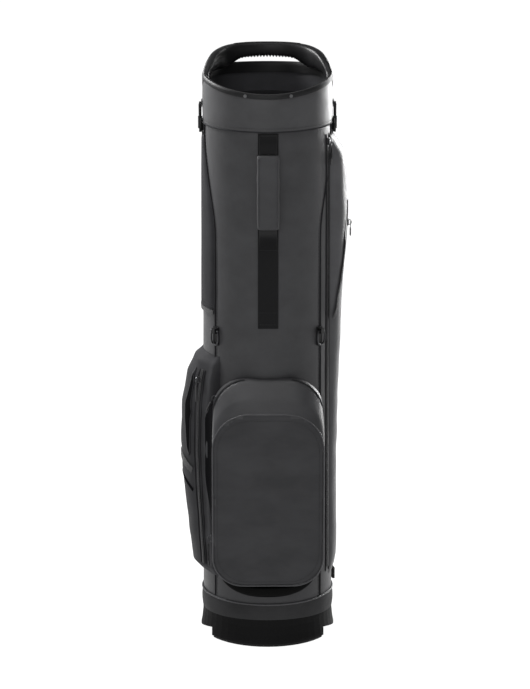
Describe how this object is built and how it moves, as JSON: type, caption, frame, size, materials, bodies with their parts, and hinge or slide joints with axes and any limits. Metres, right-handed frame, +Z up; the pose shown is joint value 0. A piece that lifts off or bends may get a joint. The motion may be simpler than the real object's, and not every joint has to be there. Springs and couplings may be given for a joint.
{
  "type": "golf stand bag",
  "caption": "Lightweight golf stand bag with a stiff round top, zipped pockets, spine grip, strap anchors and a folding two-leg stand worked by a foot flap.",
  "frame": {"origin": "on the floor, on the axis of the round body", "axes": "+Z up the bag, -Y out of the front with the spine grip and ball pocket, +Y towards the legs, +X to the right seen from the front"},
  "size_m": [0.2548, 0.2652, 0.8905],
  "materials": {
    "coated_fabric": "satin",
    "dark_fabric": "matte",
    "black_fabric": "matte",
    "webbing": "matte",
    "moulded_black": "satin",
    "sole_rubber": "matte",
    "foot_rubber": "matte",
    "zip_metal": "satin",
    "steel": "satin",
    "leg_aluminium": "satin",
    "fibreglass": "satin"
  },
  "bodies": {
    "bag": {"base_tub": "sole_rubber", "flap_pin": "steel", "base_cuff": "coated_fabric", "body_shell": "coated_fabric", "collar": "coated_fabric", "rim_screw_left": "steel", "rim_screw_right": "steel", "top_rim": "moulded_black", "divider_top": "black_fabric", "divider_webs": "black_fabric", "stay_left": "fibreglass", "stay_right": "fibreglass", "spine_webbing": "webbing", "grip_strap": "webbing", "spine_grip": "coated_fabric", "lower_handle": "moulded_black", "ball_pocket": "coated_fabric", "apparel_pocket": "coated_fabric", "left_pocket": "coated_fabric", "bottle_pouch": "dark_fabric", "side_panel": "dark_fabric", "leg_lock_strap": "webbing", "leg_lock_buckle": "moulded_black", "leg_housing": "moulded_black", "strap_staple_left": "steel", "strap_staple_right": "steel", "lower_anchor_left": "moulded_black", "lower_anchor_right": "moulded_black", "leg_pin_left": "steel", "leg_pin_right": "steel", "leg_spring_left": "steel", "leg_spring_right": "steel"},
    "foot_flap": {"foot_flap": "sole_rubber"},
    "leg_right": {"leg_hub_right": "moulded_black", "leg_tube_right": "leg_aluminium", "leg_foot_right": "foot_rubber", "leg_clip_right": "moulded_black"},
    "push_rod_right": {"push_rod_right": "steel"},
    "strap_swivel_right": {"strap_swivel_right": "moulded_black"},
    "lower_ring_right": {"lower_ring_right": "zip_metal"},
    "leg_left": {"leg_hub_left": "moulded_black", "leg_tube_left": "leg_aluminium", "leg_foot_left": "foot_rubber", "leg_clip_left": "moulded_black"},
    "push_rod_left": {"push_rod_left": "steel"},
    "strap_swivel_left": {"strap_swivel_left": "moulded_black"},
    "lower_ring_left": {"lower_ring_left": "zip_metal"},
    "apparel_slider": {"apparel_slider": "zip_metal"},
    "apparel_pull": {"apparel_pull": "zip_metal"},
    "valuables_slider": {"valuables_slider": "zip_metal"},
    "valuables_pull": {"valuables_pull": "zip_metal"},
    "left_pocket_slider": {"left_pocket_slider": "zip_metal"},
    "left_pocket_pull": {"left_pocket_pull": "zip_metal"},
    "ball_lower_slider": {"ball_lower_slider": "zip_metal"},
    "ball_lower_pull": {"ball_lower_pull": "zip_metal"},
    "ball_upper_slider": {"ball_upper_slider": "zip_metal"},
    "ball_upper_pull": {"ball_upper_pull": "zip_metal"}
  },
  "joints": [
    {"name": "leg_swing_right", "type": "hinge", "parent": "bag", "child": "leg_right", "pos_m": [0.03, 0.101, 0.802], "axis": [0.9063, -0.4226, 0], "range_deg": [0, 31], "stiffness_Nm_per_rad": 0.4, "springref_deg": -17.19},
    {"name": "leg_swing_left", "type": "hinge", "parent": "bag", "child": "leg_left", "pos_m": [-0.03, 0.101, 0.802], "axis": [0.9063, 0.4226, 0], "range_deg": [0, 31], "stiffness_Nm_per_rad": 0.4, "springref_deg": -17.19},
    {"name": "foot_flap_hinge", "type": "hinge", "parent": "bag", "child": "foot_flap", "pos_m": [0, 0.02, 0.0045], "axis": [1, 0, 0], "range_deg": [0, 21.61]},
    {"name": "push_rod_tilt_right", "type": "hinge", "parent": "foot_flap", "child": "push_rod_right", "pos_m": [0.017, 0.107, 0.0045], "axis": [-0.996, 0.0885, 0.0094], "range_deg": [0, 27.01]},
    {"name": "push_rod_tilt_left", "type": "hinge", "parent": "foot_flap", "child": "push_rod_left", "pos_m": [-0.017, 0.107, 0.0045], "axis": [-0.996, -0.0885, -0.0094], "range_deg": [0, 27.01]},
    {"name": "strap_swivel_right", "type": "hinge", "parent": "bag", "child": "strap_swivel_right", "pos_m": [0.0994, 0, 0.784], "axis": [0, 0, -1], "range_deg": [0, 110]},
    {"name": "lower_ring_right", "type": "hinge", "parent": "bag", "child": "lower_ring_right", "pos_m": [0.07876, -0.06154, 0.482], "axis": [-0.6157, -0.788, 0], "range_deg": [0, 100]},
    {"name": "strap_swivel_left", "type": "hinge", "parent": "bag", "child": "strap_swivel_left", "pos_m": [-0.0994, 0, 0.784], "axis": [0, 0, 1], "range_deg": [0, 110]},
    {"name": "lower_ring_left", "type": "hinge", "parent": "bag", "child": "lower_ring_left", "pos_m": [-0.07876, -0.06154, 0.482], "axis": [-0.6157, 0.788, 0], "range_deg": [0, 100]},
    {"name": "apparel_zip", "type": "slide", "parent": "bag", "child": "apparel_slider", "axis": [0.0031, -0.0013, -1], "range_m": [0, 0.6]},
    {"name": "apparel_pull_hinge", "type": "hinge", "parent": "apparel_slider", "child": "apparel_pull", "pos_m": [0.09329, -0.03864, 0.762], "axis": [-0.3827, -0.9239, 0], "range_deg": [0, 120]},
    {"name": "valuables_zip", "type": "slide", "parent": "bag", "child": "valuables_slider", "axis": [0.0291, -0.2424, -0.9697], "range_m": [0, 0.06]},
    {"name": "valuables_pull_hinge", "type": "hinge", "parent": "valuables_slider", "child": "valuables_pull", "pos_m": [0.1235, 0.004, 0.632], "axis": [0, -1, 0], "range_deg": [0, 120]},
    {"name": "left_pocket_zip", "type": "slide", "parent": "bag", "child": "left_pocket_slider", "axis": [0, 0, -1], "range_m": [0, 0.23]},
    {"name": "left_pocket_pull_hinge", "type": "hinge", "parent": "left_pocket_slider", "child": "left_pocket_pull", "pos_m": [-0.10644, -0.05421, 0.405], "axis": [-0.682, 0.7314, 0], "range_deg": [0, 120]},
    {"name": "ball_lower_zip", "type": "slide", "parent": "bag", "child": "ball_lower_slider", "axis": [0, 0, 1], "range_m": [0, 0.12]},
    {"name": "ball_lower_pull_hinge", "type": "hinge", "parent": "ball_lower_slider", "child": "ball_lower_pull", "pos_m": [-0.0885, -0.11, 0.176], "axis": [0, 1, 0], "range_deg": [0, 120]},
    {"name": "ball_upper_zip", "type": "hinge", "parent": "bag", "child": "ball_upper_slider", "pos_m": [-0.028, -0.1005, 0.3655], "axis": [0, 1, 0], "range_deg": [-20, 55]},
    {"name": "ball_upper_pull_hinge", "type": "hinge", "parent": "ball_upper_slider", "child": "ball_upper_pull", "pos_m": [-0.08147, -0.1005, 0.39043], "axis": [0, 1, 0], "range_deg": [-5, 90]}
  ],
  "couplings": [
    {"joint": "leg_swing_left", "follows": "leg_swing_right", "ratio": 1},
    {"joint": "foot_flap_hinge", "follows": "leg_swing_right", "ratio": 0.69677},
    {"joint": "push_rod_tilt_right", "follows": "leg_swing_right", "ratio": 0.87052},
    {"joint": "push_rod_tilt_left", "follows": "leg_swing_right", "ratio": 0.87052}
  ]
}
